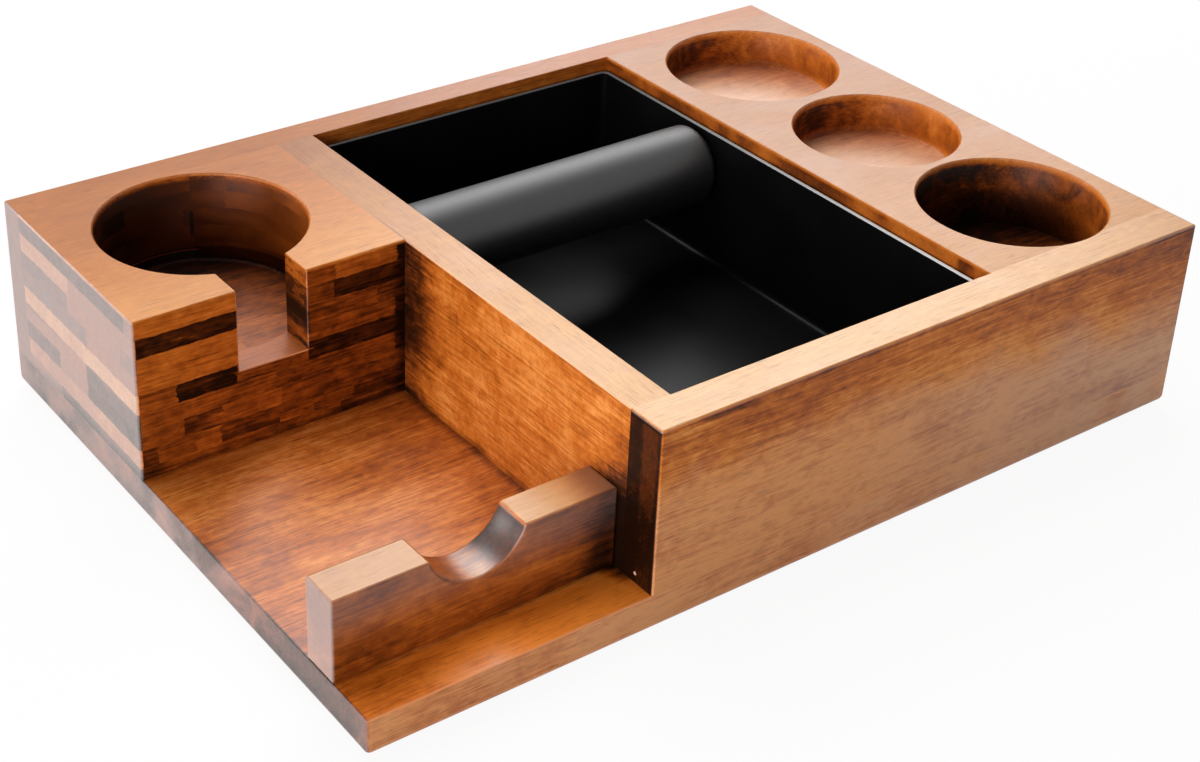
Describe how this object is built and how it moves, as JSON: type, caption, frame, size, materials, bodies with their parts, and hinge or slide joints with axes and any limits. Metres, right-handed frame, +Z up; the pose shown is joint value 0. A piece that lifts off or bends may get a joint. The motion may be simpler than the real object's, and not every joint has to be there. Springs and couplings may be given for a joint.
{
  "type": "espresso tamping station",
  "caption": "Wooden espresso station with a portafilter stand, a lift-out knock bin with a soft-covered bar, and round recesses for a tamper and other tools.",
  "frame": {"origin": "on the surface that the pads stand on, under the middle of the case", "axes": "+X to the right along the front, from the portafilter stand towards the tool recesses; +Y from the front towards the back; +Z up"},
  "size_m": [0.34, 0.238, 0.075],
  "materials": {
    "base_wood": "stained hardwood with a satin lacquer",
    "board_wood": "stained hardwood with a satin lacquer",
    "laminated_wood": "strips of light and dark stained wood glued together, satin lacquer",
    "bin_coating": "satin black coating",
    "sleeve_rubber": "matte dark rubber",
    "pad_rubber": "matte dark rubber",
    "bar_steel": "plain turned steel",
    "screw_steel": "bright zinc-plated steel"
  },
  "bodies": {
    "case": {"base_board": "base_wood", "front_board": "board_wood", "back_board": "board_wood", "partition_board": "board_wood", "handle_rest": "board_wood", "portafilter_block": "laminated_wood", "tool_block": "laminated_wood", "foot_pad_front_left": "pad_rubber", "foot_pad_front_right": "pad_rubber", "foot_pad_back_left": "pad_rubber", "foot_pad_back_right": "pad_rubber", "front_board_screw_1": "screw_steel", "front_board_screw_2": "screw_steel", "back_board_screw_1": "screw_steel", "back_board_screw_2": "screw_steel", "partition_screw_1": "screw_steel", "partition_screw_2": "screw_steel", "portafilter_block_screw_1": "screw_steel", "portafilter_block_screw_2": "screw_steel", "handle_rest_screw_1": "screw_steel", "handle_rest_screw_2": "screw_steel", "tool_block_screw_1": "screw_steel", "tool_block_screw_2": "screw_steel"},
    "lift_out_bin": {"knock_bin": "bin_coating", "knock_bar_core": "bar_steel", "knock_bar_sleeve": "sleeve_rubber", "knock_bar_screw_left": "screw_steel", "knock_bar_screw_right": "screw_steel"}
  },
  "joints": [
    {"name": "bin_lift", "type": "slide", "parent": "case", "child": "lift_out_bin", "axis": [0, 0, 1], "range_m": [0, 0.08]}
  ]
}
